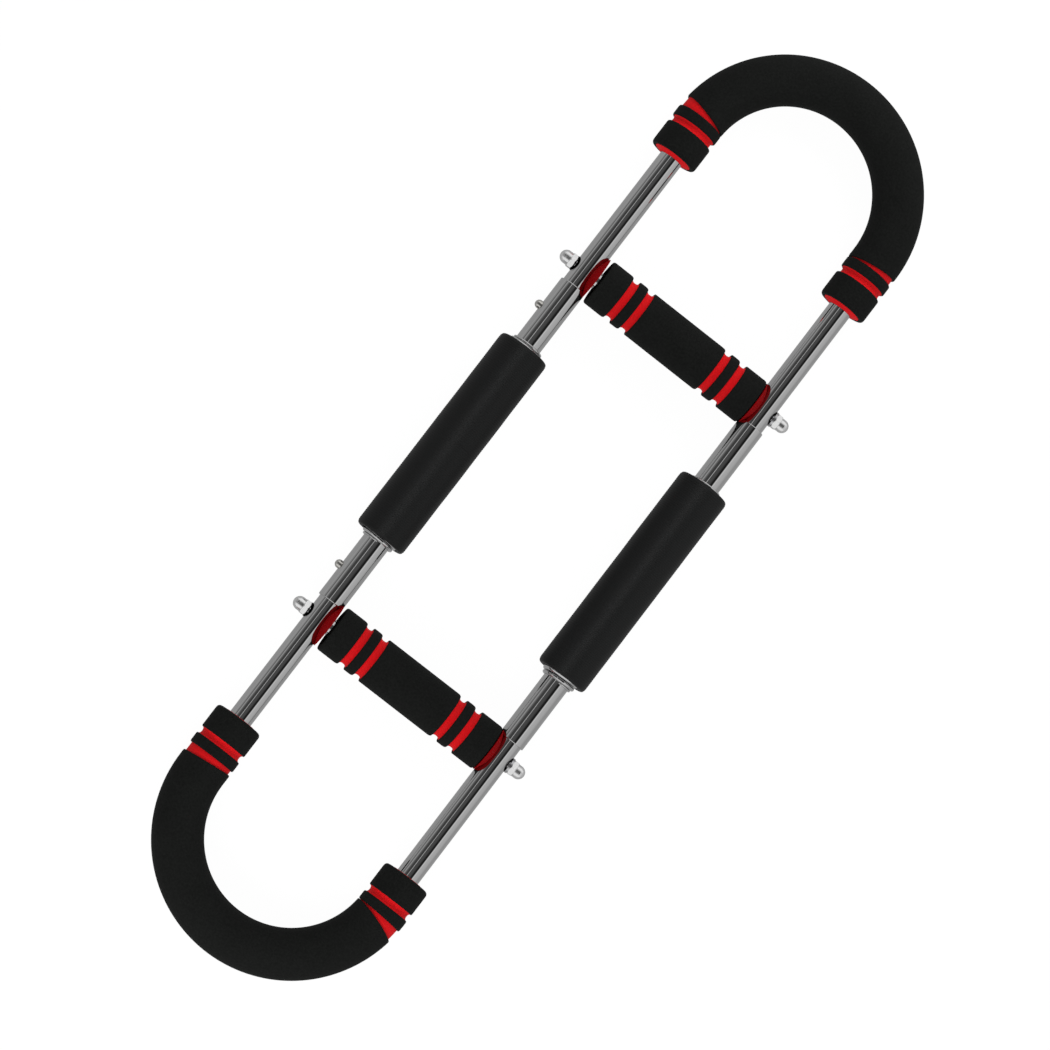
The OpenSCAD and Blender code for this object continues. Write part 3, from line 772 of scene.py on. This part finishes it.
studio = {
    "floorSize": 16.0, "floorCode": "#ffffff",
    "floorSeen": 0.97,          # how bright the floor looks
    "floorThrown": 0.40,        # how much of that it throws back onto the bar
    "horizon": 0.55,            # the room at eye level
    "endWalls": 0.95,           # the bright walls beyond both handles
    # brightness overhead by the angle across the bar, in degrees from straight up towards +X
    "bands": [(-90, 0.30), (-86, 0.38), (-75, 0.38), (-70, 0.16), (-66, 0.16), (-61, 0.46), (-55, 0.44), (-50, 0.18),
              (-46, 0.20), (-41, 0.09), (-30, 0.07), (-22, 0.08), (-19, 0.95), (-16, 0.10), (-2, 0.10), (8, 0.09),
              (15, 0.04), (24, 0.012), (31, 0.012), (36, 0.55), (39, 1.05), (43, 0.72), (50, 0.66), (75, 0.62),
              (86, 0.50), (90, 0.45)],
}


def makeWorld():
    world = bpy.data.worlds.new("studio")
    bpy.context.scene.world = world
    world.use_nodes = True
    tree = world.node_tree
    tree.nodes.clear()
    where = addNode(tree, "ShaderNodeTexCoord").outputs["Generated"]
    parts = addNode(tree, "ShaderNodeSeparateXYZ", links={"Vector": where})
    angle = addNode(tree, "ShaderNodeMath", {"operation": "ARCTAN2"}, {0: parts.outputs["X"], 1: parts.outputs["Z"]})
    share = addNode(tree, "ShaderNodeMapRange", {"From Min": -math.pi / 2, "From Max": math.pi / 2},
                    {"Value": angle.outputs[0]})
    ramp = addNode(tree, "ShaderNodeValToRGB", links={"Fac": share.outputs["Result"]})
    bands = studio["bands"]
    stops = ramp.color_ramp.elements
    while len(stops) < len(bands):
        stops.new(0.5)
    for stop, (degrees, level) in zip(stops, bands):
        stop.position = (degrees + 90) / 180
        stop.color = (level, level, level, 1)
    along = addNode(tree, "ShaderNodeMath", {"operation": "ABSOLUTE"}, {0: parts.outputs["Y"]})
    toWalls = addNode(tree, "ShaderNodeMapRange", {"From Min": 0.42, "From Max": 0.62}, {"Value": along.outputs[0]})
    lift = addNode(tree, "ShaderNodeMapRange", {"From Min": 0.03, "From Max": 0.14}, {"Value": parts.outputs["Z"]})
    # overhead bands, then the end walls, then the room at eye level, and plain white behind the bar
    colour = ramp.outputs["Color"]
    seen = addNode(tree, "ShaderNodeLightPath").outputs["Is Camera Ray"]
    for factor, level, under in ((toWalls.outputs["Result"], studio["endWalls"], False),
                                 (lift.outputs["Result"], studio["horizon"], True), (seen, 1.0, False)):
        mix = addNode(tree, "ShaderNodeMix", {"data_type": "RGBA"}, {0: factor})
        slots = [entry for entry in mix.inputs if entry.type == "RGBA"]
        slots[0 if under else 1].default_value = (level, level, level, 1)
        tree.links.new(colour, slots[1 if under else 0])
        colour = [entry for entry in mix.outputs if entry.type == "RGBA"][0]
    light = addNode(tree, "ShaderNodeBackground", links={"Color": colour})
    addNode(tree, "ShaderNodeOutputWorld", links={"Surface": light.outputs[0]})


def makeFloor():
    half = studio["floorSize"] / 2
    mesh = bpy.data.meshes.new("floor")
    mesh.from_pydata([(-half, -half, 0), (half, -half, 0), (half, half, 0), (-half, half, 0)], [], [(0, 1, 2, 3)])
    floor = bpy.data.objects.new("floor", mesh)
    bpy.context.scene.collection.objects.link(floor)
    material, tree, shader, where = newMaterial("paleFloor")
    shader.inputs["Base Color"].default_value = [0.06, 0.06, 0.06, 1]
    shader.inputs["Roughness"].default_value = 0.9
    shader.inputs["Specular IOR Level"].default_value = 0.0
    shader.inputs["Emission Color"].default_value = linearColour(studio["floorCode"])
    seen = addNode(tree, "ShaderNodeLightPath").outputs["Is Camera Ray"]
    glow = addNode(tree, "ShaderNodeMapRange", {"To Min": studio["floorThrown"], "To Max": studio["floorSeen"]},
                   {"Value": seen})
    tree.links.new(glow.outputs["Result"], shader.inputs["Emission Strength"])
    floor.data.materials.append(material)


softboxes = {
    # at, size across and along, and brightness; the strip gives the sleeves their long highlight
    "stripLight": {"at": (-0.62, 0.0, 4.0), "aim": (0, 0, 0), "size": (0.50, 5.0), "level": 5.5},
    "overheadFill": {"at": (0.6, 0.0, 5.2), "aim": (0, 0, 0), "size": (2.4, 5.0), "level": 0.36},
    "farEndLight": {"at": (0, 1.0, 0.6), "aim": (0, 0.4, 0), "size": (0.7, 0.3), "level": 4.0},
    "nearEndLight": {"at": (0, -1.0, 0.6), "aim": (0, -0.4, 0), "size": (0.7, 0.3), "level": 4.0},
}


def makeLights():
    for name, box in softboxes.items():
        lamp = bpy.data.lights.new(name, "AREA")
        lamp.shape = "RECTANGLE"
        lamp.size, lamp.size_y = box["size"]
        lamp.energy = box["level"] * math.pi * lamp.size * lamp.size_y
        holder = bpy.data.objects.new(name, lamp)
        bpy.context.scene.collection.objects.link(holder)
        holder.location = box["at"]
        aim = Vector(box["at"]) - Vector(box["aim"])
        holder.rotation_euler = (-math.atan2(aim.y, math.hypot(aim.x, aim.z)), math.atan2(aim.x, aim.z), 0)
        if name == "stripLight":    # shaded off everything but the sleeves
            holder.light_linking.receiver_collection = sleeveGroup
        else:
            holder.visible_glossy = False


makeWorld()
makeFloor()
makeLights()
bpy.context.scene.view_settings.view_transform = "Standard"
print("studio made")
